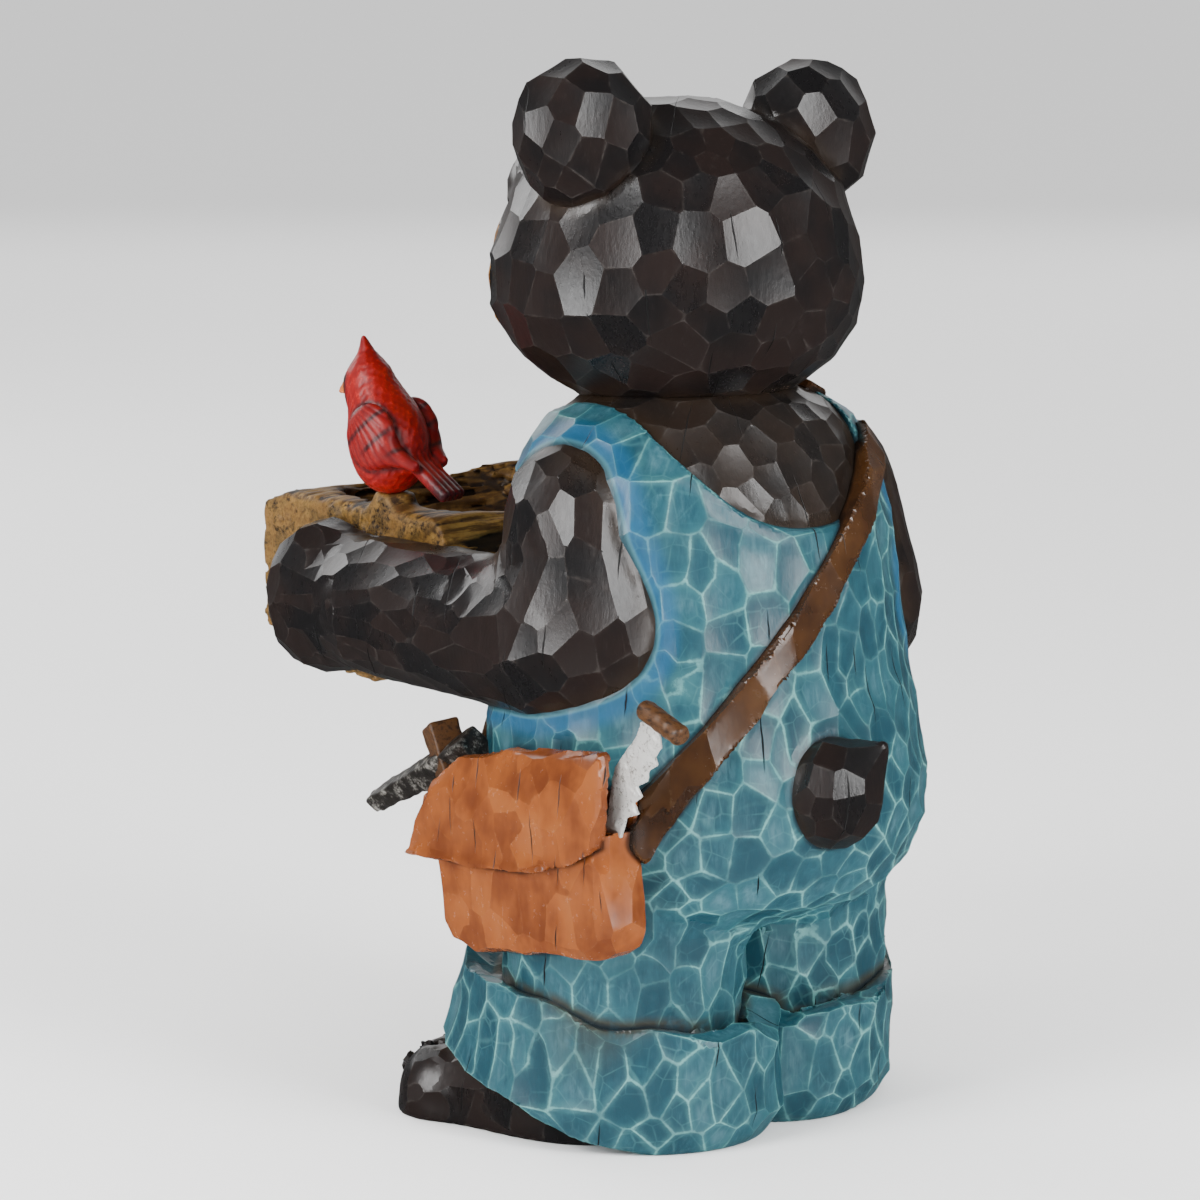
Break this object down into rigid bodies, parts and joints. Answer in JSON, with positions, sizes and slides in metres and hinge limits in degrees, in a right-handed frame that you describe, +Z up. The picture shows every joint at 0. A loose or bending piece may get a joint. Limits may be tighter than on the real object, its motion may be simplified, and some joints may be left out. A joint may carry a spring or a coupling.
{
  "type": "bear bird bath statue",
  "caption": "Garden statue of a standing bear in overalls with a satchel, carrying a hollowed log that holds water or seed, with a red bird perched on the log",
  "frame": {"origin": "on the ground, at the middle of the footprint of the whole object", "axes": "+Z up, the bear faces -Y, +X is the bear's left, the side with the satchel"},
  "size_m": [0.259, 0.3584, 0.5067],
  "materials": {
    "painted_bear": "cast resin, painted black-brown fur with blue overalls and brown leather, satin",
    "painted_log": "cast resin, painted tan wood with dark grooves",
    "painted_bird": "cast resin, painted red with dark feather edges",
    "painted_saw": "cast resin, painted silver blade and brown grip",
    "painted_hammer": "cast resin, painted worn steel head and brown handle"
  },
  "bodies": {
    "root": {"bear": "painted_bear", "log_bowl": "painted_log", "cardinal": "painted_bird", "hand_saw": "painted_saw", "hammer": "painted_hammer"}
  },
  "joints": []
}
